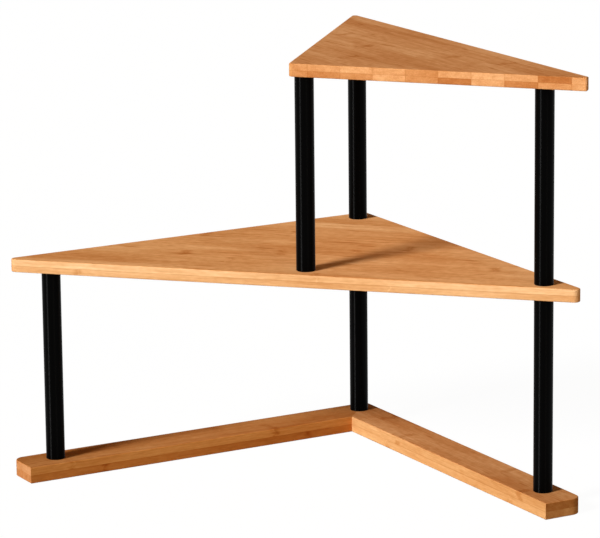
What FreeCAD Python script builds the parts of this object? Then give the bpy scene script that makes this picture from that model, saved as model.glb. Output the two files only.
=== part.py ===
import FreeCAD, Part
import math
import os
import Sketcher

# Two-tier corner shelf: triangular bamboo boards on black steel tubes, over a V of two bamboo rails.
# The room corner is at the back (+Y), the front edges run along X and +Z is up, in millimetres.
# The origin lies on the floor, under the middle of the whole.
# Every body is drawn about the room corner, and its placement carries it to its spot.
# Tubes hold threaded plugs: bolts come up through the base, studs join the tiers, and blind inserts
# carry the tops, so no fixing shows from above.

SIZES = (
    ("rail_length", 350, "base rail along its wall, from the sharp room corner to its end"),
    ("rail_width", 36, "base rail across"),
    ("rail_thickness", 14, "base rail, top to bottom"),
    ("rail_round", 9, "plan radius of the outer corner at the end of a base rail"),
    ("wall_round", 5, "plan radius of the base and the lower shelf in the room corner"),
    ("shelf_overhang", 5, "sharp tips of the lower shelf beyond the ends of the rails, along the walls"),
    ("board_thickness", 11, "both shelf boards"),
    ("tip_round", 5, "plan radius of the two front tips of the lower shelf"),
    ("edge_ease", 0.9, "small round along the top and bottom edges of boards and rails"),
    ("upper_overhang", 9, "sharp tip of the upper shelf beyond that of the lower one, along the wall"),
    ("upper_margin", 11, "open side and front edge of the upper shelf from the post axes beside them"),
    ("tip_cut", 7, "length cut square off the sharp front tip of the upper shelf"),
    ("back_tip_round", 3, "plan radius of the upper shelf's tip at the room corner"),
    ("upper_round", 4, "plan radius of the upper shelf's front corner on its open side"),
    ("cut_round", 1.2, "plan radius of the two corners of the cut tip"),
    ("tube_diameter", 16, "outside of the steel posts"),
    ("tube_wall", 1.2, "wall of the steel posts"),
    ("rim_ease", 0.4, "chamfer round the outer rims of the posts"),
    ("lower_post_length", 164, "posts between the base and the lower shelf"),
    ("upper_post_length", 164, "posts between the two shelves"),
    ("end_post_inset", 32, "left and right post axes from the ends of their rails"),
    ("front_post_inset", 18, "front post axis from the front edge of the lower shelf"),
    ("front_post_shift", 10, "front post axis to the right of the middle plane"),
    ("thread_diameter", 6, "bolts and studs"),
    ("thread_gap", 0.05, "play between a thread and the bore that takes it, all round"),
    ("thread_grip", 10, "length of thread inside a tube plug"),
    ("thread_chamfer", 0.6, "lead-in at the ends of bolts and studs"),
    ("plug_length", 12, "threaded plug pressed into each end of a tube"),
    ("plug_gap", 0.03, "play between a plug and its tube, all round"),
    ("plug_chamfer", 0.8, "lead-in at the inner end of a plug"),
    ("bolt_hole", 6.6, "clearance hole through a board for a bolt or a stud"),
    ("head_diameter", 12.4, "mouth of a countersink, with sides at 45 degrees"),
    ("head_recess", 0.5, "bolt head below the surface it is let into"),
    ("head_gap", 0.1, "play between a bolt head and its countersink"),
    ("socket_flats", 4, "hexagon socket of a bolt, across its flats"),
    ("socket_depth", 2.4, "hexagon socket of a bolt"),
    ("insert_diameter", 9, "threaded insert let into the underside of a shelf"),
    ("insert_length", 8, "threaded insert"),
    ("insert_end_gap", 0.6, "spare depth of an insert's hole"),
    ("dowel_diameter", 6, "wooden dowels across the mitre of the base"),
    ("dowel_length", 20, "wooden dowels, half in each rail"),
    ("dowel_offset", 11, "dowel axes before and behind the back post"),
    ("dowel_end_gap", 0.8, "spare depth at each end of a dowel"),
)

doc = FreeCAD.newDocument("corner_shelf")
sheet = doc.addObject("Spreadsheet::Sheet", "Sizes")
for row, (alias, number, note) in enumerate(SIZES, start=1):
    sheet.set(f"A{row}", alias)
    sheet.set(f"B{row}", str(number))
    sheet.setAlias(f"B{row}", alias)
    sheet.set(f"C{row}", note)
doc.recompute()
size = {alias: number for alias, number, note in SIZES}
lower_leg = size["rail_length"] + size["shelf_overhang"]
upper_leg = lower_leg + size["upper_overhang"]

# Places that several pieces share, as expressions on the sheet
LOWER_LEG = "(Sizes.rail_length + Sizes.shelf_overhang)"
UPPER_LEG = f"({LOWER_LEG} + Sizes.upper_overhang)"
LEFT_REACH = f"{LOWER_LEG} * sqrt(0.5) - Sizes.tip_round * sqrt(2)"
CUT_REACH = f"{UPPER_LEG} * sqrt(0.5) - Sizes.tip_cut"
CORNER_X = f"({LEFT_REACH} - ({CUT_REACH})) / 2"
BASE_TOP = "Sizes.rail_thickness"
LOWER_SHELF = f"{BASE_TOP} + Sizes.lower_post_length"
LOWER_TOP = f"{LOWER_SHELF} + Sizes.board_thickness"
UPPER_SHELF = f"{LOWER_TOP} + Sizes.upper_post_length"
# Posts stand on the middle lines of the rails, and one at the front edge of the lower shelf.
RAIL_MIDDLE = "Sizes.rail_width / 2"
END_POST = "Sizes.rail_length - Sizes.end_post_inset"
TIP_X = f"({END_POST} - {RAIL_MIDDLE}) * sqrt(0.5)"
TIP_Y = f"-({END_POST} + {RAIL_MIDDLE}) * sqrt(0.5)"
BACK_Y = f"({RAIL_MIDDLE} * sqrt(2))"
FRONT_Y = f"({LOWER_LEG} * sqrt(0.5) - Sizes.front_post_inset)"
SPOTS = {
    "left": (f"-{TIP_X}", TIP_Y),
    "back": ("0", f"-{BACK_Y}"),
    "right": (TIP_X, TIP_Y),
    "front": ("Sizes.front_post_shift", f"-{FRONT_Y}"),
}
# The upper shelf's open side leans with the line of its back and front posts. Its rounded tip, whose
# centre lies one radius inside that side and the wall line, is what reaches furthest back.
SIDE_LEAN = f"atan(Sizes.front_post_shift / ({FRONT_Y} - {BACK_Y}))"
TIP_INSET = f"Sizes.back_tip_round * (1 + sqrt(2) * cos({SIDE_LEAN}))"
TIP_CENTRE = (f"(Sizes.upper_margin + {BACK_Y} * sin({SIDE_LEAN}) - {TIP_INSET})"
              f" / (cos({SIDE_LEAN}) - sin({SIDE_LEAN}))")
FRONT_REACH = "(Sizes.rail_length + Sizes.rail_width) * sqrt(0.5)"
CORNER_Y = f"({FRONT_REACH} - {TIP_CENTRE} - Sizes.back_tip_round) / 2"
LOWER_POSTS = ("left", "back", "right")
UPPER_POSTS = ("front", "back", "right")
THREAD_RADIUS = "Sizes.thread_diameter / 2"
TAPPED_RADIUS = f"{THREAD_RADIUS} + Sizes.thread_gap"
TUBE_BORE_RADIUS = "Sizes.tube_diameter / 2 - Sizes.tube_wall"
BOLT_HOLE_RADIUS = "Sizes.bolt_hole / 2"
HEAD_RADIUS = "Sizes.head_diameter / 2 - Sizes.head_recess - Sizes.head_gap"

HALF = 0.5 ** 0.5
# How sketches number the points of a line or circle, and their own axes
START, END, CENTRE = range(1, 4)
X_AXIS, Y_AXIS = range(-1, -3, -1)
ORIGIN = (X_AXIS, START)
FLAT = 1e-6


def bind(thing, **expressions):
    """Tie properties of a feature to expressions on the sheet."""
    for name, expression in expressions.items():
        thing.setExpression(name, expression)


def place(thing, x, y, z):
    """Put a body at a plan spot given from the room corner, at a height."""
    thing.setExpression("Placement.Base.x", f"{CORNER_X} + ({x})")
    thing.setExpression("Placement.Base.y", f"{CORNER_Y} + ({y})")
    thing.setExpression("Placement.Base.z", z)


def new_body(name):
    body = doc.addObject("PartDesign::Body", name)
    body.Label = name
    return body


def attach(feature, body, role, x="0", y="0", z="0"):
    """Lay a sketch or a primitive on one of its body's own planes, shifted along that plane's axes."""
    plane = [origin for origin in body.Origin.OriginFeatures if origin.Role == role][0]
    feature.AttachmentSupport = [(plane, "")]
    feature.MapMode = "FlatFace"
    feature.setExpression("AttachmentOffset.Base.x", x)
    feature.setExpression("AttachmentOffset.Base.y", y)
    feature.setExpression("AttachmentOffset.Base.z", z)


def new_sketch(body, name, role="XY_Plane", **shift):
    sketch = body.newObject("Sketcher::SketchObject", name)
    attach(sketch, body, role, **shift)
    return sketch


def constrain(sketch, kind, *where):
    return sketch.addConstraint(Sketcher.Constraint(kind, *where))


def dimension(sketch, kind, where, start, expression):
    """Add a driving dimension that starts at a drawn length and follows the sheet."""
    index = constrain(sketch, kind, *where, start)
    sketch.setExpression(f"Constraints[{index}]", expression)


def polygon(sketch, points):
    """Draw a closed chain of lines through plan points and join their ends."""
    count = len(points)
    for index in range(count):
        begin = FreeCAD.Vector(*points[index])
        finish = FreeCAD.Vector(*points[(index + 1) % count])
        sketch.addGeometry(Part.LineSegment(begin, finish))
    for index in range(count):
        constrain(sketch, "Coincident", index, END, (index + 1) % count, START)


def circle(sketch, start, radius):
    """Draw a circle about the sketch's own origin."""
    geometry = sketch.addGeometry(Part.Circle(FreeCAD.Vector(), FreeCAD.Vector(0, 0, 1), start))
    constrain(sketch, "Coincident", geometry, CENTRE, *ORIGIN)
    dimension(sketch, "Radius", (geometry,), start, radius)


def pad(body, sketch, length):
    feature = body.newObject("PartDesign::Pad", f"{sketch.Name}_pad")
    feature.Profile = sketch
    bind(feature, Length=length)
    return feature


def pocket(body, sketch, length, upward):
    """Cut a sketch into its body: along the sketch's normal where upward, and else against it."""
    feature = body.newObject("PartDesign::Pocket", f"{sketch.Name}_cut")
    feature.Profile = sketch
    feature.Reversed = upward
    bind(feature, Length=length)
    return feature


def drill(body, name, spot, start, radius, depth):
    """A round hole that goes up into a board from its underside."""
    x, y = SPOTS[spot]
    sketch = new_sketch(body, f"{name}_{spot}", x=x, y=y)
    circle(sketch, start, radius)
    return pocket(body, sketch, depth, True)


def countersink(body, spot):
    """A conical mouth on the underside of a board, for a bolt head."""
    x, y = SPOTS[spot]
    cone = body.newObject("PartDesign::SubtractiveCone", f"countersink_{spot}")
    attach(cone, body, "XY_Plane", x=x, y=y)
    bind(cone, Radius1="Sizes.head_diameter / 2", Radius2=BOLT_HOLE_RADIUS)
    bind(cone, Height="(Sizes.head_diameter - Sizes.bolt_hole) / 2")
    return cone


def edges_of(feature, wanted):
    """Names of a feature's edges that pass a test, in the form that a fillet reads."""
    return [f"Edge{number}" for number, edge in enumerate(feature.Shape.Edges, start=1) if wanted(edge)]


def dress(body, kind, name, edges, **expressions):
    """Fillet or chamfer the edges of the body's last feature that pass a test."""
    doc.recompute()
    base = body.Tip
    feature = body.newObject(f"PartDesign::{kind}", name)
    feature.Base = (base, edges_of(base, edges))
    bind(feature, **expressions)
    return feature


def upright(edge):
    box = edge.BoundBox
    return box.XLength < FLAT and box.YLength < FLAT


def furthest(body, x, y):
    """A test for the upright corner edges of a board that lie furthest in a plan direction."""
    doc.recompute()
    heading = FreeCAD.Vector(x, y, 0)
    reach = max(edge.CenterOfMass.dot(heading) for edge in body.Tip.Shape.Edges if upright(edge))
    return lambda edge: upright(edge) and edge.CenterOfMass.dot(heading) > reach - FLAT


def rim_test(body):
    """A test for the outline edges of a board's top and bottom, apart from a mitre in the middle plane."""
    doc.recompute()
    levels = body.Tip.Shape.BoundBox
    wires = [face.OuterWire for face in body.Tip.Shape.Faces
             if face.BoundBox.ZLength < FLAT and face.BoundBox.ZMin in (levels.ZMin, levels.ZMax)]
    outline = [edge for wire in wires for edge in wire.Edges]

    def wanted(edge):
        in_mitre = abs(edge.BoundBox.XMin) < FLAT and edge.BoundBox.XLength < FLAT
        return not in_mitre and any(edge.isSame(other) for other in outline)
    return wanted


def ease_rims(body):
    dress(body, "Fillet", f"{body.Name}_eased", rim_test(body), Radius="Sizes.edge_ease")


def base_rail(side):
    """A rail along one wall, mitred to its twin in the middle plane; side is 1 for right and -1 for left."""
    body = new_body("base_rail_right" if side > 0 else "base_rail_left")
    sketch = new_sketch(body, f"{body.Name}_outline")
    length = size["rail_length"] * HALF
    width = size["rail_width"] * HALF
    curve = size["wall_round"]
    touch = (side * curve * HALF, -curve * HALF)
    polygon(sketch, (touch, (side * length, -length), (side * (length - width), -length - width),
                     (0, -2 * width), (0, curve * (1 - 2 * HALF))))
    wall, end, inner, mitre, corner = range(5)
    # The last line of the chain gives way to the arc that rounds the room corner.
    sketch.delGeometry(corner)
    middle = FreeCAD.Vector(0, -2 * curve * HALF)
    sweep = [math.radians(angle) for angle in ((45, 90) if side > 0 else (90, 135))]
    corner = sketch.addGeometry(Part.ArcOfCircle(Part.Circle(middle, FreeCAD.Vector(0, 0, 1), curve), *sweep))
    at_wall, at_mitre = (START, END) if side > 0 else (END, START)
    constrain(sketch, "Tangent", corner, at_wall, wall, START)
    constrain(sketch, "Coincident", corner, at_mitre, mitre, END)
    constrain(sketch, "PointOnObject", corner, CENTRE, Y_AXIS)
    constrain(sketch, "PointOnObject", mitre, START, Y_AXIS)
    constrain(sketch, "PointOnObject", mitre, END, Y_AXIS)
    constrain(sketch, "PointOnObject", *ORIGIN, wall)
    constrain(sketch, "Perpendicular", wall, end)
    constrain(sketch, "Parallel", wall, inner)
    dimension(sketch, "Radius", (corner,), curve, "Sizes.wall_round")
    dimension(sketch, "Distance", (end,), size["rail_width"], "Sizes.rail_width")
    reach = "Sizes.rail_length * sqrt(0.5)"
    dimension(sketch, "DistanceY", (wall, END, *ORIGIN), length, reach)
    across = (*ORIGIN, wall, END) if side > 0 else (wall, END, *ORIGIN)
    dimension(sketch, "DistanceX", across, length, reach)
    pad(body, sketch, "Sizes.rail_thickness")
    dress(body, "Fillet", f"{body.Name}_end", furthest(body, side, 0), Radius="Sizes.rail_round")
    for spot in ("back", "right" if side > 0 else "left"):
        drill(body, "bolt_hole", spot, size["bolt_hole"] / 2, BOLT_HOLE_RADIUS, "Sizes.rail_thickness")
        countersink(body, spot)
    for name, sign in (("front", "-"), ("rear", "+")):
        y = f"{SPOTS['back'][1]} {sign} Sizes.dowel_offset"
        hole = new_sketch(body, f"dowel_hole_{name}", "YZ_Plane", x=y, y="Sizes.rail_thickness / 2")
        circle(hole, size["dowel_diameter"] / 2, "Sizes.dowel_diameter / 2")
        pocket(body, hole, "Sizes.dowel_length / 2 + Sizes.dowel_end_gap", side > 0)
    ease_rims(body)
    place(body, "0", "0", "0")
    return body


def lower_shelf():
    """The full triangle, with its right angle in the room corner."""
    body = new_body("lower_shelf")
    sketch = new_sketch(body, "lower_outline")
    reach = lower_leg * HALF
    polygon(sketch, ((0, 0), (reach, -reach), (-reach, -reach)))
    right_wall, front, left_wall = range(3)
    constrain(sketch, "Coincident", right_wall, START, *ORIGIN)
    constrain(sketch, "Horizontal", front)
    constrain(sketch, "Perpendicular", right_wall, left_wall)
    constrain(sketch, "Equal", right_wall, left_wall)
    dimension(sketch, "Distance", (right_wall,), lower_leg, LOWER_LEG)
    pad(body, sketch, "Sizes.board_thickness")
    dress(body, "Fillet", "lower_tips", furthest(body, 0, -1), Radius="Sizes.tip_round")
    dress(body, "Fillet", "lower_corner", furthest(body, 0, 1), Radius="Sizes.wall_round")
    for spot in UPPER_POSTS:
        drill(body, "through_hole", spot, size["bolt_hole"] / 2, BOLT_HOLE_RADIUS, "Sizes.board_thickness")
    countersink(body, "front")
    insert_hole(body, "left")
    ease_rims(body)
    place(body, "0", "0", LOWER_SHELF)
    return body


def marker(sketch, point):
    """A construction point that other lines of a sketch keep to."""
    return sketch.addGeometry(Part.Point(FreeCAD.Vector(*point)), True)


def upper_shelf():
    """The board over the right side: its open side and front follow the posts, and its tip is cut square."""
    body = new_body("upper_shelf")
    sketch = new_sketch(body, "upper_outline")
    margin = size["upper_margin"]
    back_post = (0, -HALF * size["rail_width"])
    front_post = (size["front_post_shift"], size["front_post_inset"] - lower_leg * HALF)
    sharp = upper_leg * HALF
    cut = sharp - size["tip_cut"]
    corner = (front_post[0] - margin, front_post[1] - margin)
    polygon(sketch, ((-margin, margin), corner, (cut, -sharp), (cut, -cut)))
    side, front, tip, wall = range(4)
    constrain(sketch, "Vertical", tip)
    constrain(sketch, "PointOnObject", *ORIGIN, wall)
    # The cut ends on the wall line, as far across as it is forward.
    dimension(sketch, "DistanceX", (*ORIGIN, tip, END), cut, CUT_REACH)
    dimension(sketch, "DistanceY", (tip, END, *ORIGIN), cut, CUT_REACH)
    # The sharp tip that is cut away still gives the front edge its direction.
    sharp_tip = marker(sketch, (sharp, -sharp))
    dimension(sketch, "DistanceX", (*ORIGIN, sharp_tip, START), sharp, f"{UPPER_LEG} * sqrt(0.5)")
    dimension(sketch, "DistanceY", (sharp_tip, START, *ORIGIN), sharp, f"{UPPER_LEG} * sqrt(0.5)")
    constrain(sketch, "PointOnObject", sharp_tip, START, front)
    beside = {"back": marker(sketch, back_post), "front": marker(sketch, front_post)}
    for spot, (x, y) in (("back", back_post), ("front", front_post)):
        dimension(sketch, "DistanceX", (*ORIGIN, beside[spot], START), x, SPOTS[spot][0])
        dimension(sketch, "DistanceY", (*ORIGIN, beside[spot], START), y, SPOTS[spot][1])
    for spot, edge in (("back", side), ("front", side), ("front", front)):
        dimension(sketch, "Distance", (beside[spot], START, edge), margin, "Sizes.upper_margin")
    pad(body, sketch, "Sizes.board_thickness")
    dress(body, "Fillet", "upper_front_corner", furthest(body, -1, -1), Radius="Sizes.upper_round")
    dress(body, "Fillet", "upper_back_tip", furthest(body, 0, 1), Radius="Sizes.back_tip_round")
    dress(body, "Fillet", "upper_cut_corners", furthest(body, 1, 0), Radius="Sizes.cut_round")
    for spot in UPPER_POSTS:
        insert_hole(body, spot)
    ease_rims(body)
    place(body, "0", "0", UPPER_SHELF)
    return body


def insert_hole(body, spot):
    return drill(body, "insert_hole", spot, size["insert_diameter"] / 2, "Sizes.insert_diameter / 2",
                 "Sizes.insert_length + Sizes.insert_end_gap")


def ring(name, radius, bore, length):
    """A short or long tube, drawn as two circles and padded."""
    body = new_body(name)
    sketch = new_sketch(body, f"{name}_ring")
    circle(sketch, size["tube_diameter"], radius)
    circle(sketch, size["thread_diameter"] / 2, bore)
    pad(body, sketch, length)
    return body


def round_edges(level, widest):
    """A test for the circles of a turned piece, at its lower or upper end, outer or inner."""
    def wanted(edge):
        box = edge.BoundBox
        return box.ZLength < FLAT and abs(box.ZMin - level) < FLAT and abs(box.XLength - widest) < FLAT
    return wanted


def outer_rims(body, ends):
    """A test for the outer circles at the chosen ends (0 bottom, 1 top) of a turned body."""
    doc.recompute()
    box = body.Tip.Shape.BoundBox
    tests = [round_edges((box.ZMin, box.ZMax)[end], box.XLength) for end in ends]
    return lambda edge: any(test(edge) for test in tests)


def post(tier, spot, length, height):
    """A steel tube between two boards."""
    body = ring(f"{tier}_post_{spot}", "Sizes.tube_diameter / 2", TUBE_BORE_RADIUS, length)
    dress(body, "Chamfer", f"{body.Name}_rims", outer_rims(body, (0, 1)), Size="Sizes.rim_ease")
    place(body, *SPOTS[spot], height)
    return body


def plug(tier, spot, end, height):
    """A threaded plug, flush with one end of a tube and chamfered at its inner end."""
    body = ring(f"{tier}_post_{spot}_{end}_plug", f"{TUBE_BORE_RADIUS} - Sizes.plug_gap", TAPPED_RADIUS,
                "Sizes.plug_length")
    inner_end = 1 if end == "bottom" else 0
    dress(body, "Chamfer", f"{body.Name}_lead", outer_rims(body, (inner_end,)), Size="Sizes.plug_chamfer")
    place(body, *SPOTS[spot], height)
    return body


def bolt(name, spot, board, height):
    """A countersunk bolt with a hexagon socket, up through a board into a tube plug."""
    body = new_body(name)
    sketch = new_sketch(body, f"{name}_profile", "XZ_Plane")
    shank = size["thread_diameter"] / 2
    head = size["head_diameter"] / 2 - size["head_recess"] - size["head_gap"]
    low = size["head_recess"]
    neck = low + head - shank
    high = size[board] + size["thread_grip"]
    polygon(sketch, ((0, low), (head, low), (shank, neck), (shank, high), (0, high)))
    face, cone, side, end, axis = range(5)
    constrain(sketch, "Horizontal", face)
    constrain(sketch, "Vertical", side)
    constrain(sketch, "Horizontal", end)
    constrain(sketch, "PointOnObject", axis, START, Y_AXIS)
    constrain(sketch, "PointOnObject", axis, END, Y_AXIS)
    dimension(sketch, "DistanceY", (*ORIGIN, face, START), low, "Sizes.head_recess")
    dimension(sketch, "Distance", (face,), head, HEAD_RADIUS)
    dimension(sketch, "Distance", (end,), shank, THREAD_RADIUS)
    dimension(sketch, "DistanceY", (cone, START, cone, END), neck - low, f"{HEAD_RADIUS} - {THREAD_RADIUS}")
    dimension(sketch, "DistanceY", (*ORIGIN, end, START), high, f"Sizes.{board} + Sizes.thread_grip")
    turned = body.newObject("PartDesign::Revolution", f"{name}_turned")
    turned.Profile = sketch
    turned.ReferenceAxis = (sketch, ["V_Axis"])
    socket = new_sketch(body, f"{name}_socket", z="Sizes.head_recess")
    hexagon(socket, size["socket_flats"], "Sizes.socket_flats")
    pocket(body, socket, "Sizes.socket_depth", True)
    doc.recompute()
    top = body.Tip.Shape.BoundBox.ZMax
    shank_end = round_edges(top, size["thread_diameter"])
    dress(body, "Chamfer", f"{name}_lead", shank_end, Size="Sizes.thread_chamfer")
    place(body, *SPOTS[spot], height)
    return body


def hexagon(sketch, start, flats):
    """A regular hexagon about the sketch's origin, sized across its flats."""
    sides = 6
    radius = start / 3 ** 0.5
    spoke = FreeCAD.Vector(radius, 0, 0)
    turns = [FreeCAD.Rotation(FreeCAD.Vector(0, 0, 1), 360 * side / sides) for side in range(sides)]
    polygon(sketch, [tuple(turn.multVec(spoke)) for turn in turns])
    circle(sketch, radius, f"{flats} / sqrt(3)")
    sketch.toggleConstruction(sides)
    for side in range(sides):
        constrain(sketch, "PointOnObject", side, START, sides)
    for side in range(1, sides):
        constrain(sketch, "Equal", 0, side)
    constrain(sketch, "PointOnObject", 0, START, X_AXIS)


def stud(name, spot, length, height):
    """A headless threaded stud with a lead-in at both ends."""
    body = new_body(name)
    sketch = new_sketch(body, f"{name}_round")
    circle(sketch, size["thread_diameter"] / 2, THREAD_RADIUS)
    pad(body, sketch, length)
    dress(body, "Chamfer", f"{name}_leads", outer_rims(body, (0, 1)), Size="Sizes.thread_chamfer")
    place(body, *SPOTS[spot], height)
    return body


def insert(name, spot, height):
    """A threaded insert, flush with the underside of a shelf."""
    body = ring(name, "Sizes.insert_diameter / 2", TAPPED_RADIUS, "Sizes.insert_length")
    place(body, *SPOTS[spot], height)
    return body


def dowel(name, sign):
    """A wooden dowel across the mitre, before or behind the back post."""
    body = new_body(name)
    x, y = SPOTS["back"]
    sketch = new_sketch(body, f"{name}_round", "YZ_Plane", z="-Sizes.dowel_length / 2")
    circle(sketch, size["dowel_diameter"] / 2, "Sizes.dowel_diameter / 2")
    pad(body, sketch, "Sizes.dowel_length")
    place(body, x, f"{y} {sign} Sizes.dowel_offset", "Sizes.rail_thickness / 2")
    return body


def group(name, bodies):
    """One sub-part that holds several like pieces as separate solids."""
    compound = doc.addObject("Part::Compound", name)
    compound.Label = name
    compound.Links = bodies
    return compound


def tier_of_posts(tier, spots, length, floor, ceiling):
    """The tubes of one tier with a plug in each end."""
    pieces = []
    for spot in spots:
        pieces.append(post(tier, spot, length, floor))
        pieces.append(plug(tier, spot, "bottom", floor))
        pieces.append(plug(tier, spot, "top", f"{ceiling} - Sizes.plug_length"))
    return pieces


def insert_studs(tier, spots, shelf):
    """Studs that join the tube tops to the inserts of the shelf above."""
    length = "Sizes.thread_grip + Sizes.insert_length"
    height = f"{shelf} - Sizes.thread_grip"
    return [stud(f"{tier}_insert_stud_{spot}", spot, length, height) for spot in spots]


def tier_studs():
    """Studs through the lower shelf that join the posts of both tiers."""
    length = "Sizes.board_thickness + 2 * Sizes.thread_grip"
    height = f"{LOWER_SHELF} - Sizes.thread_grip"
    shared = [spot for spot in LOWER_POSTS if spot in UPPER_POSTS]
    return [stud(f"tier_stud_{spot}", spot, length, height) for spot in shared]


nodes = [base_rail(-1), base_rail(1), lower_shelf(), upper_shelf()]
nodes += tier_of_posts("lower", LOWER_POSTS, "Sizes.lower_post_length", BASE_TOP, LOWER_SHELF)
nodes += tier_of_posts("upper", UPPER_POSTS, "Sizes.upper_post_length", LOWER_TOP, UPPER_SHELF)
base_bolts = [bolt(f"base_bolt_{spot}", spot, "rail_thickness", "0") for spot in LOWER_POSTS]
nodes.append(group("base_bolts", base_bolts))
nodes.append(bolt("front_post_bolt", "front", "board_thickness", LOWER_SHELF))
nodes.append(group("tier_studs", tier_studs()))
nodes.append(insert("lower_shelf_insert", "left", LOWER_SHELF))
upper_inserts = [insert(f"upper_insert_{spot}", spot, UPPER_SHELF) for spot in UPPER_POSTS]
nodes.append(group("upper_shelf_inserts", upper_inserts))
nodes.append(group("lower_shelf_stud", insert_studs("lower", ("left",), LOWER_SHELF)))
nodes.append(group("upper_shelf_studs", insert_studs("upper", UPPER_POSTS, UPPER_SHELF)))
nodes.append(group("mitre_dowels", [dowel("dowel_front", "-"), dowel("dowel_rear", "+")]))
doc.recompute()

# Nothing is written unless every object came out whole and every cut took something away.
CUTS = ("PartDesign::Pocket", "PartDesign::SubtractiveCone")
for item in doc.Objects:
    if "Invalid" in item.State or "Error" in item.State:
        raise RuntimeError(f"{item.Label} failed: {item.State}")
    if item.TypeId in CUTS and not item.Shape.Volume < item.BaseFeature.Shape.Volume - FLAT:
        raise RuntimeError(f"{item.Label} cuts nothing")
for node in nodes:
    if node.Shape.isNull() or not node.Shape.isValid() or not node.Shape.Solids:
        raise RuntimeError(f"{node.Label} has no valid solid")

os.makedirs("parts", exist_ok=True)
for node in nodes:
    node.Shape.exportStep(f"parts/{node.Label}.step")
    print(node.Label, len(node.Shape.Solids), "solids,", round(node.Shape.Volume), "mm3")
whole = Part.makeCompound([node.Shape for node in nodes]).BoundBox
print("overall", [round(length, 2) for length in (whole.XLength, whole.YLength, whole.ZLength)],
      "from", [round(low, 2) for low in (whole.XMin, whole.YMin, whole.ZMin)])
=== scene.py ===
"""Corner shelf: laminated bamboo boards and rails on black steel tubes.

The packed CAD model is the frame. Its boards, rails, tubes and fittings keep their CAD shapes.
The operators give each group its finish and then set the stage.
"""

import math

import bmesh
import bpy
from bpy.props import FloatProperty, FloatVectorProperty, PointerProperty
from bpy.types import NodeSocket, Operator, Panel, PropertyGroup
from mathutils import Matrix, Vector


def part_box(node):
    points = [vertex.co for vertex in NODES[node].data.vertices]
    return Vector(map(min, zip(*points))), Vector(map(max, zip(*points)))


bl_info = {
    "name": "Corner Shelf",
    "version": (1, 0, 0),
    "blender": (4, 5, 0),
    "location": "3D View > Sidebar > Corner Shelf",
    "description": "Dresses the corner shelf and sets its studio stage",
    "category": "Object",
}

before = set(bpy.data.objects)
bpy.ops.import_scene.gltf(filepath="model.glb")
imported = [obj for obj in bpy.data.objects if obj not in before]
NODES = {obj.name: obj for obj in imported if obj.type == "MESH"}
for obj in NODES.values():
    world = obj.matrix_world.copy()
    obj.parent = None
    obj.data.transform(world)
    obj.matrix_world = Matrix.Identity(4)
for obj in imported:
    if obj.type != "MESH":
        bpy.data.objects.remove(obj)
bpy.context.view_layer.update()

# Pieces that share a finish
TIERS = {"lower": ("left", "back", "right"), "upper": ("front", "back", "right")}
POSTS = [f"{tier}_post_{place}" for tier, places in TIERS.items() for place in places]
PLUGS = [f"{post}_{end}_plug" for post in POSTS for end in ("bottom", "top")]
FASTENERS = ["base_bolts", "front_post_bolt", "tier_studs", "lower_shelf_stud", "upper_shelf_studs"]
INSERTS = ["lower_shelf_insert", "upper_shelf_inserts"]

# Directions of the grain, turned from the X axis
FRONT_GRAIN = 0.0
RIGHT_WALL_GRAIN = math.radians(-45)
LEFT_WALL_GRAIN = math.radians(45)

# Repeats per metre of the bamboo's figures: along the grain, across it and up
NODE_WAVE_SCALE = (25.0, 140.0, 140.0)
NODE_PATCH_SCALE = (60.0, 95.0, 140.0)
FLOW_SCALE = (6.0, 32.0, 32.0)
STREAK_SCALE = (12.0, 210.0, 210.0)
FIBRE_SCALE = (40.0, 1200.0, 1200.0)
WISP_SCALE = (32.0, 230.0, 230.0)
FLECK_SCALE = (150.0, 200.0, 480.0)
PORE_SCALE = (70.0, 2400.0, 2400.0)

# Levels of the noise between which a figure comes in
NODE_PATCH_LEVELS = (0.36, 0.60)
WISP_LEVELS = (0.62, 0.78)
PORE_LEVELS = (0.60, 0.72)

# Distances in metres from a line's middle between which it fades out
GLUE_LINE = (0.0001, 0.0005)
NODE_BAND = (0.0005, 0.0062)
NODE_LINE = (0.0003, 0.0011)

# Metres that a growth node sways along the grain, and that the fibres of two strips may lie apart
NODE_SWAY = 0.016
FIBRE_SHIFT = 3.7

# Steps by which a figure darkens a board, in pairs for its sides and its faces
FLOW_DEPTH = (0.8, 1.3)
WISP_DEPTH = (0.12, 0.5)
FLECK_DEPTH = (0.4, 0.5)
STREAK_DEPTH = 0.62
FIBRE_DEPTH = 0.6
PORE_DEPTH = 0.18
NODE_LINE_DEPTH = -0.16
FACE_NODE_DEPTH = 0.47
FACE_VARIETY = 0.27

# Steps by which a glue line darkens the edges along the grain, and the faces and ends
SEAM_DEPTH = (0.3, 0.14)

# What is left of red, green and blue where bamboo is one step darker
DARKER_BAMBOO = (0.62, 0.42, 0.26)

# Heights of the figures in the relief of a board
FIBRE_HEIGHT = 0.35
NODE_LINE_HEIGHT = 0.3
PORE_HEIGHT = -0.3
SEAM_HEIGHT = -0.4

# Least and greatest roughness of wood
BAMBOO_ROUGHNESS = (0.60, 0.80)
DOWEL_ROUGHNESS = (0.55, 0.75)

# How far a surface looks up where it turns into a face, and along the grain where it turns into an end
FACE_TURN = (0.5, 0.85)
END_TURN = (0.3, 0.9)

# Colour of a dowel's dark streaks as a share of its pale ones
DOWEL_STREAK = 0.7

# Clouds of a metal's surface: repeats per metre, and swing of its tone and its roughness
CLOUD_SCALE = (60.0, 60.0, 25.0)
CLOUD_TONE = 0.2
CLOUD_ROUGHNESS = 0.06

# Values that are the same all over a metal piece
BARE_METAL = {"Metallic": 1.0}
SATIN_COAT = {"Specular IOR Level": 0.03, "Anisotropic": 1.0, "Anisotropic Rotation": 0.25}

# Floor: half its width and its drop under the rails in metres, and the glow that the camera sees on it
FLOOR_REACH = 6.0
FLOOR_DROP = 0.0002
FLOOR_GLOW = 1.05

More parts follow.
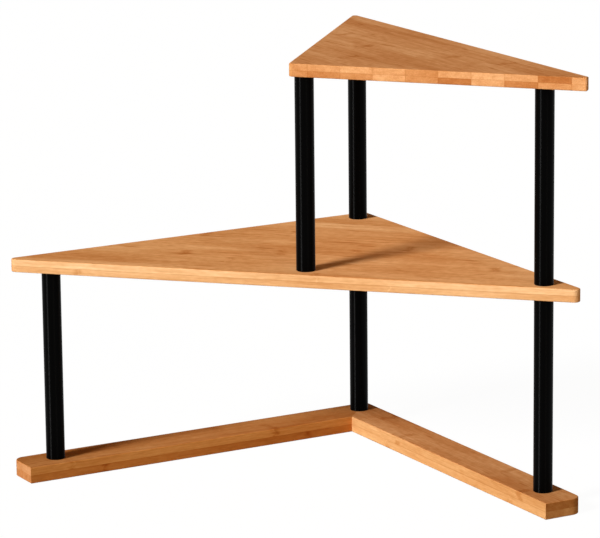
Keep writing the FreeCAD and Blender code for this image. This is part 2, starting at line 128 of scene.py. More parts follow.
# Reach in metres within which a surface counts as standing on the floor
TOUCH = 0.001

# Farthest distance in metres that the camera sees
CAMERA_RANGE = 50.0

WHITE = (1.0, 1.0, 1.0)


def thickness(node):
    """Height of a flat CAD piece."""
    low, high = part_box(node)
    return high.z - low.z


def colour(name, description, value):
    """A colour property with a linear default."""
    return FloatVectorProperty(name=name, description=description, subtype="COLOR", size=3, default=value,
                               min=0.0, max=1.0)


def length(name, description, value):
    """A length property in metres."""
    return FloatProperty(name=name, description=description, unit="LENGTH", default=value, min=0.0,
                         precision=4)


def share(name, description, value):
    """A property from nothing to all."""
    return FloatProperty(name=name, description=description, subtype="FACTOR", default=value, min=0.0,
                         max=1.0)


def level(name, description, value):
    """A property of nothing or more."""
    return FloatProperty(name=name, description=description, default=value, min=0.0)


def angle(name, description, degrees):
    """An angle property with a default in degrees."""
    return FloatProperty(name=name, description=description, subtype="ANGLE", default=math.radians(degrees))


def settings_of(name, group):
    """A property that holds a group of settings, described by the group's own docstring."""
    return PointerProperty(name=name, description=group.__doc__, type=group)


class BambooSettings(PropertyGroup):
    """What all the bamboo pieces have in common"""

    shelf_strip: length("Shelf strip", "Width of a bamboo strip in the shelves", 0.01855)
    rail_strip: length("Rail strip", "Width of a bamboo strip in the base rails", 0.0182)
    shelf_ply: length("Shelf ply", "Thickness of one layer of a shelf", thickness("lower_shelf") / 2)
    rail_ply: length("Rail ply", "Thickness of one layer of a rail", thickness("base_rail_left") / 2)
    gloss: share("Oil gloss", "Strength of the oiled surface's reflection", 0.002)


class LowerShelfSettings(PropertyGroup):
    """Bamboo of the lower shelf"""

    face: colour("Face", "Top and bottom of the board", (0.80, 0.372, 0.138))
    edge: colour("Edge", "Sides along the grain", (0.757, 0.402, 0.174))
    end: colour("End", "Sides across the grain", (0.72, 0.33, 0.12))
    variety: level("Variety", "How much its strips differ on the edges", 0.8)
    end_variety: level("End variety", "How much its strips differ on the ends", 0.8)
    seed: level("Seed", "Choice of strips", 782910.0)
    node_spacing: length("Node spacing", "Distance between the growth nodes of one strip", 0.27)
    node_depth: level("Node depth", "How much darker its growth nodes are on the sides", 0.38)
    first_strip: share("First strip", "Part of a strip missing at the front edge", 0.35)


class UpperShelfSettings(PropertyGroup):
    """Bamboo of the upper shelf"""

    face: colour("Face", "Top and bottom of the board", (0.684, 0.302, 0.115))
    edge: colour("Edge", "Sides along the grain", (0.70, 0.33, 0.12))
    end: colour("End", "Sides across the grain", (0.67, 0.285, 0.106))
    variety: level("Variety", "How much its strips differ on the edges", 1.0)
    end_variety: level("End variety", "How much its strips differ on the ends", 1.15)
    seed: level("Seed", "Choice of strips", 957241.0)
    node_spacing: length("Node spacing", "Distance between the growth nodes of one strip", 0.27)
    node_depth: level("Node depth", "How much darker its growth nodes are on the sides", 0.38)
    first_strip: share("First strip", "Part of a strip missing at the open side", 0.48)


class LeftRailSettings(PropertyGroup):
    """Bamboo of the left base rail, whose edge colour holds painted shade"""

    face: colour("Face", "Top and bottom of the rail", (0.507, 0.199, 0.057))
    # Painted shade: the edge colour is darker and more saturated than the right rail's, since this inner
    # side faces away from the key lamp
    edge: colour("Edge", "Sides along the grain", (0.572, 0.213, 0.0475))
    end: colour("End", "Sides across the grain", (0.57, 0.25, 0.096))
    variety: level("Variety", "How much its strips differ on the edges", 1.9)
    end_variety: level("End variety", "How much its strips differ on the ends", 1.2)
    seed: level("Seed", "Choice of strips", 12591597.0)
    node_spacing: length("Node spacing", "Distance between the growth nodes of one strip", 0.196)
    node_depth: level("Node depth", "How much darker its growth nodes are on the sides", 0.8)
    first_strip: share("First strip", "Part of a strip missing at the inner side", 0.035)


class RightRailSettings(PropertyGroup):
    """Bamboo of the right base rail, whose end colour holds painted shade"""

    face: colour("Face", "Top and bottom of the rail", (0.615, 0.275, 0.1015))
    edge: colour("Edge", "Sides along the grain", (0.664, 0.342, 0.134))
    # Painted shade: the end colour is darker than the left rail's, since the front end faces away from the
    # key lamp
    end: colour("End", "Sides across the grain", (0.455, 0.174, 0.045))
    variety: level("Variety", "How much its strips differ on the edges", 0.3)
    end_variety: level("End variety", "How much its strips differ on the ends", 1.8)
    seed: level("Seed", "Choice of strips", 13088744.0)
    node_spacing: length("Node spacing", "Distance between the growth nodes of one strip", 0.196)
    node_depth: level("Node depth", "How much darker its growth nodes are on the sides", 0.5)
    first_strip: share("First strip", "Part of a strip missing at the inner side", 0.035)


class FittingSettings(PropertyGroup):
    """Colours of the tubes and of the hidden fittings"""

    coat: colour("Tube coat", "Black coat of the tubes", (0.0003, 0.00025, 0.0002))
    plug: colour("Plug", "Plain steel of the tube plugs", (0.40, 0.39, 0.37))
    fastener: colour("Fastener", "Zinc plating of the bolts and studs", (0.56, 0.56, 0.55))
    insert: colour("Insert", "Brass of the threaded inserts", (0.62, 0.40, 0.14))
    dowel: colour("Dowel", "Pale wood of the mitre dowels", (0.64, 0.44, 0.25))


class KeyLampSettings(PropertyGroup):
    """Main lamp, on the left of the front"""

    strength: level("Strength", "Light on a surface that faces the lamp", 1.2)
    tint: colour("Tint", "Colour of the light", WHITE)
    turn: angle("Turn", "Place to the left of the front", 33)
    height: angle("Height", "Height over the floor", 29)
    spread: angle("Spread", "Width as seen from the shelf", 16)


class SideLampSettings(PropertyGroup):
    """Weak warm lamp on the right of the front"""

    strength: level("Strength", "Light on a surface that faces the lamp", 0.12)
    tint: colour("Tint", "Colour of the light", (1.0, 0.90, 0.74))
    turn: angle("Turn", "Place to the left of the front", -43)
    height: angle("Height", "Height over the floor", 20)
    spread: angle("Spread", "Width as seen from the shelf", 15)


class BackLampSettings(PropertyGroup):
    """Low lamp for the wall sides"""

    strength: level("Strength", "Light on a surface that faces the lamp", 0.35)
    tint: colour("Tint", "Colour of the light", WHITE)
    turn: angle("Turn", "Place to the left of the front", 180)
    height: angle("Height", "Height over the floor", 0.5)
    spread: angle("Spread", "Width as seen from the shelf", 4)


class StreakLampSettings(PropertyGroup):
    """Low lamp that only shows as a streak on the tubes"""

    strength: level("Strength", "Brightness of the streak", 1.2)
    tint: colour("Tint", "Colour of the light", WHITE)
    turn: angle("Turn", "Place to the left of the front", 36)
    height: angle("Height", "Height over the floor", 4)
    spread: angle("Spread", "Width as seen from the shelf", 9)


class CameraSettings(PropertyGroup):
    """Camera in front of the shelf, a little to the right"""

    place: FloatVectorProperty(name="Place", description="Where the camera stands", size=3,
                               subtype="TRANSLATION", default=(0.80544, -2.95503, 0.87757))
    turn: angle("Turn", "Turn about the upright", 15.364)
    dip: angle("Dip", "Angle of the view below level", 12.970)
    roll: angle("Roll", "Turn about the line of sight", -0.499)
    lens: FloatProperty(name="Lens", description="Focal length", unit="CAMERA", default=220.31, min=1.0)
    shift: FloatVectorProperty(name="Shift", description="Shift in parts of the width", size=2,
                               default=(-0.0376, -0.0099))


class StageSettings(PropertyGroup):
    """Floor, light and camera"""

    floor: colour("Floor", "Pale floor", (0.6, 0.6, 0.6))
    shadow: share("Floor shadow", "How much of the floor's shadow the camera sees", 0.08)
    fill: level("Fill", "Even light from all round", 0.10)
    fill_tint: colour("Fill tint", "Warm colour of the even light", (1.0, 0.70, 0.32))
    key: settings_of("Key lamp", KeyLampSettings)
    side: settings_of("Side lamp", SideLampSettings)
    back: settings_of("Back lamp", BackLampSettings)
    streak: settings_of("Streak lamp", StreakLampSettings)
    camera: settings_of("Camera", CameraSettings)


class ShelfSettings(PropertyGroup):
    """All the settings of the corner shelf"""

    bamboo: settings_of("Bamboo", BambooSettings)
    lower_shelf: settings_of("Lower shelf", LowerShelfSettings)
    upper_shelf: settings_of("Upper shelf", UpperShelfSettings)
    left_rail: settings_of("Left rail", LeftRailSettings)
    right_rail: settings_of("Right rail", RightRailSettings)
    fittings: settings_of("Tubes and fittings", FittingSettings)
    stage: settings_of("Stage", StageSettings)


def rgba(tint):
    """A colour for a node's socket."""
    return (*tint, 1.0)


def toned(tint, factor):
    """A lighter or darker colour for a node's socket."""
    return rgba(min(1.0, factor * part) for part in tint)


class Graph:
    """Adds nodes to one node tree and joins them."""

    def __init__(self, tree):
        self.tree = tree

    def put(self, socket, value):
        """Links a socket into another one, or sets a plain value on it."""
        if isinstance(value, NodeSocket):
            self.tree.links.new(value, socket)
        else:
            socket.default_value = value

    def node(self, kind, inputs=None, **settings):
        """A node of this kind with its settings and its inputs by name or number."""
        node = self.tree.nodes.new(kind)
        for name, value in settings.items():
            setattr(node, name, value)
        for name, value in (inputs or {}).items():
            self.put(node.inputs[name], value)
        return node

    def math(self, operation, *values):
        """A Math node's value."""
        inputs = dict(enumerate(values))
        return self.node("ShaderNodeMath", inputs, operation=operation).outputs[0]

    def vector(self, operation, *values):
        """A Vector Math node's vector."""
        inputs = dict(enumerate(values))
        return self.node("ShaderNodeVectorMath", inputs, operation=operation).outputs["Vector"]

    def ramp(self, value, start, stop, low=0.0, high=1.0):
        """A smooth step of a value between two levels."""
        inputs = {"Value": value, "From Min": start, "From Max": stop, "To Min": low, "To Max": high}
        return self.node("ShaderNodeMapRange", inputs, interpolation_type="SMOOTHSTEP").outputs["Result"]

    def fade(self, value, start, stop):
        """A smooth step down from one to nothing."""
        return self.ramp(value, start, stop, low=1.0, high=0.0)

    def scale(self, value, amount):
        """A value times an amount."""
        return self.math("MULTIPLY", value, amount)

    def swing(self, value, amount):
        """A value from 0 to 1, moved to swing about nothing by this amount."""
        return self.scale(self.math("SUBTRACT", value, 0.5), amount)

    def total(self, *values):
        """The sum of several values."""
        result = values[0]
        for value in values[1:]:
            result = self.math("ADD", result, value)
        return result

    def mix(self, factor, first, second):
        """A mix of two values."""
        return self.node("ShaderNodeMix", {0: factor, 2: first, 3: second}, data_type="FLOAT").outputs[0]

    def mix_colour(self, factor, first, second):
        """A mix of two colours."""
        return self.node("ShaderNodeMix", {0: factor, 6: first, 7: second}, data_type="RGBA").outputs[2]

    def mix_shader(self, factor, first, second):
        """A mix of two shader nodes."""
        inputs = {0: factor, 1: first.outputs[0], 2: second.outputs[0]}
        return self.node("ShaderNodeMixShader", inputs)

    def split(self, vector):
        """The three parts of a vector."""
        return self.node("ShaderNodeSeparateXYZ", {0: vector}).outputs

    def join(self, x, y, z):
        """A vector from three parts."""
        return self.node("ShaderNodeCombineXYZ", {0: x, 1: y, 2: z}).outputs[0]

    def noise(self, place, scale, detail):
        """Noise from 0 to 1, with a scale for each direction."""
        inputs = {"Vector": self.vector("MULTIPLY", place, scale), "Scale": 1.0, "Detail": detail}
        return self.node("ShaderNodeTexNoise", inputs).outputs[0]

    def group(self, name, inputs):
        """The outputs of a shared node group with its inputs by name."""
        return self.node("ShaderNodeGroup", inputs, node_tree=shared_group(name)).outputs


def new_group(name, inputs, outputs):
    """The graph, the given sockets and the sockets to fill of a new node group."""
    tree = bpy.data.node_groups.new(name, "ShaderNodeTree")
    for label, kind in inputs.items():
        tree.interface.new_socket(label, in_out="INPUT", socket_type=f"NodeSocket{kind}")
    for label, kind in outputs.items():
        tree.interface.new_socket(label, in_out="OUTPUT", socket_type=f"NodeSocket{kind}")
    graph = Graph(tree)
    return graph, graph.node("NodeGroupInput").outputs, graph.node("NodeGroupOutput").inputs


def bamboo_strips():
    """Group: tone and shift of the strip that a point lies in, and how near it is to a glue line."""
    graph, given, out = new_group(
        "Bamboo strips",
        {"Place": "Vector", "Strip Width": "Float", "Ply Thickness": "Float", "Seed": "Float"},
        {"Tone": "Float", "Shift": "Float", "Seam": "Float"})
    _, across, up = graph.split(given["Place"])
    strips = graph.math("DIVIDE", across, given["Strip Width"])
    strip = graph.math("FLOOR", strips)
    layer = graph.math("GREATER_THAN", graph.math("DIVIDE", up, given["Ply Thickness"]), 1.0)
    cell = graph.join(strip, layer, given["Seed"])
    random = graph.node("ShaderNodeTexWhiteNoise", {"Vector": cell}, noise_dimensions="3D")
    part = graph.math("SUBTRACT", strips, strip)
    side = graph.math("MINIMUM", part, graph.math("SUBTRACT", 1.0, part))
    strip_gap = graph.scale(side, given["Strip Width"])
    layer_gap = graph.math("ABSOLUTE", graph.math("SUBTRACT", up, given["Ply Thickness"]))
    gap = graph.math("MINIMUM", strip_gap, layer_gap)
    graph.put(out["Tone"], random.outputs["Value"])
    graph.put(out["Shift"], graph.split(random.outputs["Color"])[1])
    graph.put(out["Seam"], graph.fade(gap, *GLUE_LINE))


def bamboo_nodes():
    """Group: the growth nodes that cross each strip, as broken bands with a fine line."""
    graph, given, out = new_group(
        "Bamboo nodes",
        {"Place": "Vector", "Shift": "Float", "Spacing": "Float"},
        {"Band": "Float", "Line": "Float"})
    wave = graph.noise(given["Place"], NODE_WAVE_SCALE, detail=2.0)
    along = graph.math("MULTIPLY_ADD", wave, NODE_SWAY, graph.split(given["Place"])[0])
    count = graph.math("ADD", graph.math("DIVIDE", along, given["Spacing"]), given["Shift"])
    off = graph.math("ABSOLUTE", graph.math("SUBTRACT", graph.math("FRACT", count), 0.5))
    gap = graph.scale(off, given["Spacing"])
    patch = graph.ramp(graph.noise(given["Place"], NODE_PATCH_SCALE, detail=2.0), *NODE_PATCH_LEVELS)
    graph.put(out["Band"], graph.scale(patch, graph.fade(gap, *NODE_BAND)))
    graph.put(out["Line"], graph.fade(gap, *NODE_LINE))


def wood_fibres():
    """Group: broad and fine streaks, fibres, flecks and pores along the grain."""
    graph, given, out = new_group(
        "Wood fibres",
        {"Place": "Vector", "Shift": "Float"},
        {"Flow": "Float", "Streak": "Float", "Fibre": "Float", "Wisp": "Float", "Fleck": "Float",
         "Pore": "Float"})
    moved = graph.vector("ADD", given["Place"], graph.scale(given["Shift"], FIBRE_SHIFT))
    graph.put(out["Flow"], graph.noise(given["Place"], FLOW_SCALE, detail=2.0))
    graph.put(out["Streak"], graph.noise(moved, STREAK_SCALE, detail=3.0))
    graph.put(out["Fibre"], graph.noise(moved, FIBRE_SCALE, detail=2.0))
    graph.put(out["Wisp"], graph.ramp(graph.noise(moved, WISP_SCALE, detail=1.0), *WISP_LEVELS))
    graph.put(out["Fleck"], graph.noise(moved, FLECK_SCALE, detail=1.0))
    graph.put(out["Pore"], graph.ramp(graph.noise(moved, PORE_SCALE, detail=1.0), *PORE_LEVELS))


def bamboo_board():
    """Group: colour, roughness and relief of a laminated board from its strips, nodes and fibres."""
    graph, given, out = new_group(
        "Bamboo board",
        {"Place": "Vector", "Facing": "Vector", "Strip Width": "Float", "Ply Thickness": "Float",
         "Node Spacing": "Float", "Node Depth": "Float", "Seed": "Float", "Variety": "Float",
         "End Variety": "Float", "Face": "Color", "Edge": "Color", "End": "Color"},
        {"Color": "Color", "Roughness": "Float", "Height": "Float"})
    strips = graph.group("Bamboo strips", {
        "Place": given["Place"], "Strip Width": given["Strip Width"],
        "Ply Thickness": given["Ply Thickness"], "Seed": given["Seed"]})
    nodes = graph.group("Bamboo nodes", {
        "Place": given["Place"], "Shift": strips["Shift"], "Spacing": given["Node Spacing"]})
    fibres = graph.group("Wood fibres", {"Place": given["Place"], "Shift": strips["Shift"]})

    facing = graph.split(graph.vector("ABSOLUTE", given["Facing"]))
    is_face = graph.ramp(facing[2], *FACE_TURN)
    is_end = graph.ramp(facing[0], *END_TURN)
    is_face_or_end = graph.math("MAXIMUM", is_face, is_end)
    side = graph.mix_colour(is_end, given["Edge"], given["End"])
    base = graph.mix_colour(is_face, side, given["Face"])
    side_variety = graph.mix(is_end, given["Variety"], given["End Variety"])
    variety = graph.mix(is_face, side_variety, FACE_VARIETY)

    # Depth counts the steps that a spot is darker than the board's own colour
    depth = graph.total(
        graph.scale(graph.math("SUBTRACT", 0.5, strips["Tone"]), variety),
        graph.swing(fibres["Flow"], graph.mix(is_face, *FLOW_DEPTH)),
        graph.swing(fibres["Streak"], STREAK_DEPTH),
        graph.swing(fibres["Fibre"], FIBRE_DEPTH),
        graph.scale(fibres["Wisp"], graph.mix(is_face, *WISP_DEPTH)),
        graph.swing(fibres["Fleck"], graph.mix(is_face, *FLECK_DEPTH)),
        graph.scale(nodes["Band"], graph.mix(is_face, given["Node Depth"], FACE_NODE_DEPTH)),
        graph.scale(nodes["Line"], NODE_LINE_DEPTH),
        graph.scale(strips["Seam"], graph.mix(is_face_or_end, *SEAM_DEPTH)),
        graph.scale(fibres["Pore"], PORE_DEPTH))
    tint = graph.join(*[graph.math("POWER", part, depth) for part in DARKER_BAMBOO])
    relief = graph.total(
        graph.scale(fibres["Fibre"], FIBRE_HEIGHT),
        graph.scale(nodes["Line"], NODE_LINE_HEIGHT),
        graph.scale(fibres["Pore"], PORE_HEIGHT),
        graph.scale(strips["Seam"], SEAM_HEIGHT))
    graph.put(out["Color"], graph.vector("MULTIPLY", base, tint))
    graph.put(out["Roughness"], graph.mix(fibres["Streak"], *BAMBOO_ROUGHNESS))
    graph.put(out["Height"], relief)


def metal_surface():
    """Group: cloudy tone and fine relief of coated and plated metal."""
    graph, given, out = new_group(
        "Metal surface",
        {"Place": "Vector", "Grain Size": "Float"},
        {"Cloud": "Float", "Relief": "Float"})
    grains = graph.vector("DIVIDE", given["Place"], given["Grain Size"])
    graph.put(out["Cloud"], graph.noise(given["Place"], CLOUD_SCALE, detail=3.0))
    graph.put(out["Relief"], graph.noise(grains, (1.0, 1.0, 1.0), detail=1.0))


GROUP_MAKERS = {
    "Bamboo strips": bamboo_strips,
    "Bamboo nodes": bamboo_nodes,
    "Wood fibres": wood_fibres,
    "Bamboo board": bamboo_board,
    "Metal surface": metal_surface,
}


def shared_group(name):
    """A shader node group, built on first use."""
    if name not in bpy.data.node_groups:
        GROUP_MAKERS[name]()
    return bpy.data.node_groups[name]


def new_material(name):
    """A material with a Principled shader, its graph and that shader."""
    material = bpy.data.materials.new(name)
    material.use_nodes = True
    return material, Graph(material.node_tree), material.node_tree.nodes["Principled BSDF"]


def bump(graph, shader, height, strength, distance):
    """Feeds a relief to the shader's normal."""
    inputs = {"Height": height, "Strength": strength, "Distance": distance}
    graph.put(shader.inputs["Normal"], graph.node("ShaderNodeBump", inputs).outputs[0])


def board_corner(node, grain):
    """Lowest corner of a board measured along its grain, across it and up."""
    turn = Matrix.Rotation(-grain, 3, "Z")
    places = [turn @ vertex.co for vertex in NODES[node].data.vertices]
    return Vector([min(place[axis] for place in places) for axis in range(3)])


def bamboo_material(node, grain, strip, ply, look, gloss):
    """Oiled bamboo whose strips run along the grain of one board."""
    material, graph, shader = new_material(f"{node}_bamboo")
    start = -board_corner(node, grain) + Vector((0.0, strip * look.first_strip, 0.0))
    turn = (0.0, 0.0, -grain)
    coordinate = graph.node("ShaderNodeTexCoord").outputs
    place = graph.node("ShaderNodeMapping", {
        "Vector": coordinate["Object"], "Location": start, "Rotation": turn})
    facing = graph.node("ShaderNodeMapping", {
        "Vector": coordinate["Normal"], "Rotation": turn}, vector_type="VECTOR")
    board = graph.group("Bamboo board", {
        "Place": place.outputs[0], "Facing": facing.outputs[0], "Strip Width": strip, "Ply Thickness": ply,
        "Node Spacing": look.node_spacing, "Node Depth": look.node_depth, "Seed": look.seed,
        "Variety": look.variety, "End Variety": look.end_variety,
        "Face": rgba(look.face), "Edge": rgba(look.edge), "End": rgba(look.end)})
    graph.put(shader.inputs["Base Color"], board["Color"])
    graph.put(shader.inputs["Roughness"], board["Roughness"])
    graph.put(shader.inputs["Specular IOR Level"], gloss)
    bump(graph, shader, board["Height"], strength=0.25, distance=0.0002)
    return material


def metal_material(name, tint, finish, roughness, grain_size, relief):
    """Coated or plated metal with a cloudy surface."""
    material, graph, shader = new_material(name)
    place = graph.node("ShaderNodeTexCoord").outputs["Object"]
    surface = graph.group("Metal surface", {"Place": place, "Grain Size": grain_size})
    darker = toned(tint, 1.0 - CLOUD_TONE)
    lighter = toned(tint, 1.0 + CLOUD_TONE)
    smoother = roughness - CLOUD_ROUGHNESS
    rougher = roughness + CLOUD_ROUGHNESS
    graph.put(shader.inputs["Base Color"], graph.mix_colour(surface["Cloud"], darker, lighter))
    graph.put(shader.inputs["Roughness"], graph.mix(surface["Cloud"], smoother, rougher))
    for socket, value in finish.items():
        graph.put(shader.inputs[socket], value)
    bump(graph, shader, surface["Relief"], strength=relief, distance=0.0001)
    return material


def dowel_material(pale):
    """Pale wood with darker streaks."""
    material, graph, shader = new_material("dowel_beech")
    place = graph.node("ShaderNodeTexCoord").outputs["Object"]
    fibres = graph.group("Wood fibres", {"Place": place, "Shift": 0.0})
    shade = graph.mix_colour(fibres["Streak"], toned(pale, DOWEL_STREAK), rgba(pale))
    graph.put(shader.inputs["Base Color"], shade)
    graph.put(shader.inputs["Roughness"], graph.mix(fibres["Fibre"], *DOWEL_ROUGHNESS))
    bump(graph, shader, fibres["Fibre"], strength=0.2, distance=0.0002)
    return material


def dress(names, material):
    """Gives CAD nodes a material in all their slots."""
    for name in names:
        for slot in NODES[name].material_slots:
            slot.material = material


def dress_shelf(node, grain, look, bamboo):
    """Gives a shelf its own bamboo."""
    dress([node], bamboo_material(node, grain, bamboo.shelf_strip, bamboo.shelf_ply, look, bamboo.gloss))


def dress_rail(node, grain, look, bamboo):
    """Gives a base rail its own bamboo."""
    dress([node], bamboo_material(node, grain, bamboo.rail_strip, bamboo.rail_ply, look, bamboo.gloss))


class SHELF_OT_lower_shelf(Operator):
    """Dress the lower shelf, with strips along its front edge"""

    bl_idname = "corner_shelf.lower_shelf"
    bl_label = "Lower Shelf"

    def execute(self, context):
        settings = context.scene.corner_shelf
        dress_shelf("lower_shelf", FRONT_GRAIN, settings.lower_shelf, settings.bamboo)
        return {"FINISHED"}


class SHELF_OT_upper_shelf(Operator):
    """Dress the upper shelf, with strips along its wall edge"""

    bl_idname = "corner_shelf.upper_shelf"
    bl_label = "Upper Shelf"

    def execute(self, context):
        settings = context.scene.corner_shelf
        dress_shelf("upper_shelf", RIGHT_WALL_GRAIN, settings.upper_shelf, settings.bamboo)
        return {"FINISHED"}


class SHELF_OT_base_rails(Operator):
    """Dress the two base rails, with strips along their length"""

    bl_idname = "corner_shelf.base_rails"
    bl_label = "Base Rails"

    def execute(self, context):
        settings = context.scene.corner_shelf
        dress_rail("base_rail_left", LEFT_WALL_GRAIN, settings.left_rail, settings.bamboo)
        dress_rail("base_rail_right", RIGHT_WALL_GRAIN, settings.right_rail, settings.bamboo)
        return {"FINISHED"}


class SHELF_OT_posts(Operator):
    """Dress the six tubes in a satin black coat"""

    bl_idname = "corner_shelf.posts"
    bl_label = "Posts"

    def execute(self, context):
        fittings = context.scene.corner_shelf.fittings
        dress(POSTS, metal_material("black_coat", fittings.coat, SATIN_COAT,
                                    roughness=0.42, grain_size=0.0006, relief=0.02))
        return {"FINISHED"}


class SHELF_OT_plugs(Operator):
    """Dress the threaded plugs in the ends of the tubes"""

    bl_idname = "corner_shelf.plugs"
    bl_label = "Plugs"

    def execute(self, context):
        fittings = context.scene.corner_shelf.fittings
        dress(PLUGS, metal_material("plug_steel_turned", fittings.plug, BARE_METAL,
                                    roughness=0.38, grain_size=0.0004, relief=0.1))
        return {"FINISHED"}


class SHELF_OT_fasteners(Operator):
    """Dress the bolts and studs in zinc plating"""

    bl_idname = "corner_shelf.fasteners"
    bl_label = "Bolts and Studs"

    def execute(self, context):
        fittings = context.scene.corner_shelf.fittings
        dress(FASTENERS, metal_material("fastener_zinc", fittings.fastener, BARE_METAL,
                                        roughness=0.28, grain_size=0.0003, relief=0.08))
        return {"FINISHED"}


class SHELF_OT_inserts(Operator):
    """Dress the threaded inserts in turned brass"""

    bl_idname = "corner_shelf.inserts"
    bl_label = "Inserts"

    def execute(self, context):
        fittings = context.scene.corner_shelf.fittings
        dress(INSERTS, metal_material("insert_brass_turned", fittings.insert, BARE_METAL,
                                      roughness=0.30, grain_size=0.0003, relief=0.08))
        return {"FINISHED"}


class SHELF_OT_dowels(Operator):
    """Dress the wooden dowels across the mitre"""

    bl_idname = "corner_shelf.dowels"
    bl_label = "Dowels"

    def execute(self, context):
        dress(["mitre_dowels"], dowel_material(context.scene.corner_shelf.fittings.dowel))
        return {"FINISHED"}


def empty_graph(owner):
    """A graph without nodes in a material or a world."""
    owner.use_nodes = True
    owner.node_tree.nodes.clear()
    return Graph(owner.node_tree)


def background_rays(graph):
    """One for the rays that should see a white background: from the camera, off gloss and through glass."""
    rays = graph.node("ShaderNodeLightPath").outputs
    seen = graph.math("MAXIMUM", rays["Is Camera Ray"], rays["Is Glossy Ray"])
    return graph.math("MAXIMUM", seen, rays["Is Transmission Ray"])


def floor_material(stage):
    """White floor with a faint shadow, clear from below and where the shelf stands on it."""
    material = bpy.data.materials.new("pale_floor")
    graph = empty_graph(material)
    matt = graph.node("ShaderNodeBsdfDiffuse", {"Color": rgba(stage.floor)})
    white = graph.node("ShaderNodeEmission", {"Color": rgba(WHITE), "Strength": FLOOR_GLOW})
    clear = graph.node("ShaderNodeBsdfTransparent")
    veil = graph.scale(background_rays(graph), 1.0 - stage.shadow)
    below = graph.node("ShaderNodeNewGeometry").outputs["Backfacing"]
    reach = graph.node("ShaderNodeLightPath").outputs["Ray Length"]
    gone = graph.math("MAXIMUM", below, graph.math("LESS_THAN", reach, TOUCH))
    whole = graph.mix_shader(gone, graph.mix_shader(veil, matt, white), clear)
    graph.node("ShaderNodeOutputMaterial", {"Surface": whole.outputs[0]})
    return material


def studio_world(stage):
    """Even fill light, with white behind the object."""
    world = bpy.data.worlds.new("studio")
    graph = empty_graph(world)
    fill = graph.node("ShaderNodeBackground", {"Color": rgba(stage.fill_tint), "Strength": stage.fill})
    white = graph.node("ShaderNodeBackground", {"Color": rgba(WHITE), "Strength": 1.0})
    whole = graph.mix_shader(background_rays(graph), fill, white)
    graph.node("ShaderNodeOutputWorld", {"Surface": whole.outputs[0]})
    return world


def add_floor(scene, stage):
    """A flat floor just under the rails."""
    mesh = bpy.data.meshes.new("floor")
    shape = bmesh.new()
    bmesh.ops.create_grid(shape, x_segments=1, y_segments=1, size=FLOOR_REACH,
                          matrix=Matrix.Translation((0.0, 0.0, -FLOOR_DROP)))
    shape.to_mesh(mesh)
    shape.free()
    mesh.materials.append(floor_material(stage))
    floor = bpy.data.objects.new("floor", mesh)
    scene.collection.objects.link(floor)
    return floor


def add_lamp(scene, name, look):
    """A soft lamp far away, to the left of the front by its turn."""
    light = bpy.data.lights.new(name, "SUN")
    light.energy = look.strength * math.pi
    light.color = look.tint
    light.angle = look.spread
    lamp = bpy.data.objects.new(name, light)
    lamp.matrix_world = (Matrix.Rotation(-look.turn, 4, "Z")
                         @ Matrix.Rotation(math.pi / 2 - look.height, 4, "X"))
    scene.collection.objects.link(lamp)
    return lamp


def add_camera(scene, look):
    """A camera that stands and looks as its settings say."""
    lens = bpy.data.cameras.new("camera")
    lens.lens = look.lens
    lens.shift_x, lens.shift_y = look.shift
    lens.clip_end = CAMERA_RANGE
    camera = bpy.data.objects.new("camera", lens)
    camera.matrix_world = (Matrix.Translation(look.place)
                           @ Matrix.Rotation(look.turn, 4, "Z")
                           @ Matrix.Rotation(math.pi / 2 - look.dip, 4, "X")
                           @ Matrix.Rotation(look.roll, 4, "Z"))
    scene.collection.objects.link(camera)
    return camera


class SHELF_OT_stage(Operator):
    """Set the floor, the light and the camera"""

    bl_idname = "corner_shelf.stage"
    bl_label = "Stage"

    def execute(self, context):
        scene = context.scene
        stage = scene.corner_shelf.stage
        scene.view_settings.view_transform = "Standard"
        scene.world = studio_world(stage)
        floor = add_floor(scene, stage)

        # The tubes reflect the streak lamp instead of the key and the back lamp
        key = add_lamp(scene, "key", stage.key)
        key.visible_glossy = False
        add_lamp(scene, "side", stage.side)
        back = add_lamp(scene, "back", stage.back)
        back.visible_glossy = False
        streak = add_lamp(scene, "streak", stage.streak)
        streak.visible_diffuse = False

        scene.camera = add_camera(scene, stage.camera)
        return {"FINISHED"}


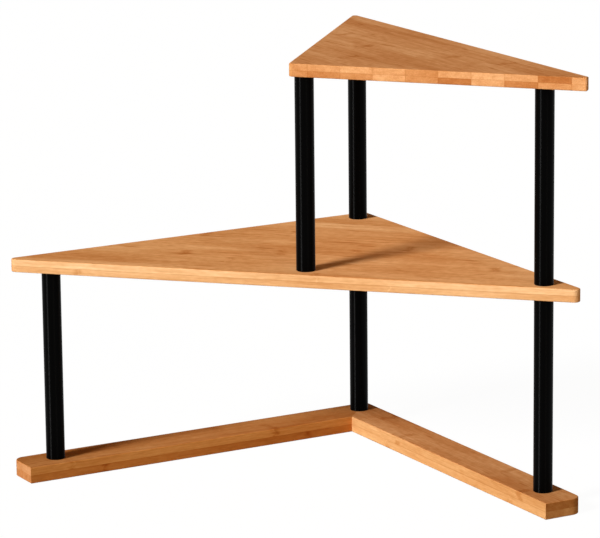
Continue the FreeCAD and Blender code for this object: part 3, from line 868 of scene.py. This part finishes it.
OPERATORS = (
    SHELF_OT_lower_shelf,
    SHELF_OT_upper_shelf,
    SHELF_OT_base_rails,
    SHELF_OT_posts,
    SHELF_OT_plugs,
    SHELF_OT_fasteners,
    SHELF_OT_inserts,
    SHELF_OT_dowels,
    SHELF_OT_stage,
)


def list_settings(layout, settings):
    """Shows every setting of a group, and each group inside it in a box."""
    for name in settings.__annotations__:
        setting = settings.bl_rna.properties[name]
        if setting.type == "POINTER":
            box = layout.box()
            box.label(text=setting.name)
            list_settings(box, getattr(settings, name))
        else:
            layout.prop(settings, name)


class SHELF_PT_corner_shelf(Panel):
    """Lists the steps that dress the corner shelf, and their settings"""

    bl_idname = "SHELF_PT_corner_shelf"
    bl_label = "Corner Shelf"
    bl_space_type = "VIEW_3D"
    bl_region_type = "UI"
    bl_category = "Corner Shelf"

    def draw(self, context):
        for operator in OPERATORS:
            self.layout.operator(operator.bl_idname)
        list_settings(self.layout, context.scene.corner_shelf)


CLASSES = (
    BambooSettings,
    LowerShelfSettings,
    UpperShelfSettings,
    LeftRailSettings,
    RightRailSettings,
    FittingSettings,
    KeyLampSettings,
    SideLampSettings,
    BackLampSettings,
    StreakLampSettings,
    CameraSettings,
    StageSettings,
    ShelfSettings,
    *OPERATORS,
    SHELF_PT_corner_shelf,
)


def register():
    """Makes the settings, operators and panel known to Blender."""
    for cls in CLASSES:
        bpy.utils.register_class(cls)
    bpy.types.Scene.corner_shelf = settings_of("Corner shelf", ShelfSettings)


def unregister():
    """Takes them out again."""
    del bpy.types.Scene.corner_shelf
    for cls in reversed(CLASSES):
        bpy.utils.unregister_class(cls)


def main():
    """Dresses the shelf and sets the stage."""
    register()
    bpy.ops.corner_shelf.lower_shelf()
    bpy.ops.corner_shelf.upper_shelf()
    bpy.ops.corner_shelf.base_rails()
    bpy.ops.corner_shelf.posts()
    bpy.ops.corner_shelf.plugs()
    bpy.ops.corner_shelf.fasteners()
    bpy.ops.corner_shelf.inserts()
    bpy.ops.corner_shelf.dowels()
    bpy.ops.corner_shelf.stage()


if __name__ == "__main__":
    main()
